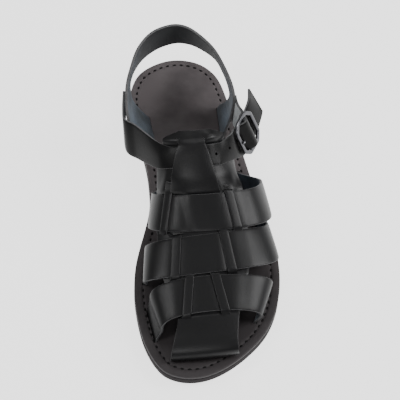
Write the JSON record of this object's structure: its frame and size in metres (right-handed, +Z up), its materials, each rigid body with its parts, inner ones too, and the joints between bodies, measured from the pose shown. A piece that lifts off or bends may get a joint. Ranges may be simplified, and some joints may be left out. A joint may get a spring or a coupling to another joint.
{
  "type": "fisherman sandal",
  "caption": "Left-foot fisherman sandal with a woven strap upper, an open heel band and a buckled ankle strap on a flat stitched sole.",
  "frame": {"origin": "middle of the sandal's box seen from above, on the floor plane", "axes": "+Y from toe to heel, +X to the wearer's left (the little-toe and buckle side), +Z up"},
  "size_m": [0.1196, 0.2848, 0.0883],
  "materials": {
    "black_leather": "smooth black full-grain leather, satin",
    "footbed_leather": "dark brown-grey leather, matt",
    "sole_rubber": "very dark brown rubber, matt",
    "gunmetal": "dark grey plated steel, satin"
  },
  "bodies": {
    "root": {"outsole": "sole_rubber", "heel": "sole_rubber", "insole": "footbed_leather", "upper": "black_leather", "heel_strap": "black_leather", "ankle_strap": "black_leather", "buckle_chape": "black_leather", "buckle_frame": "gunmetal", "buckle_prong": "gunmetal"}
  },
  "joints": []
}
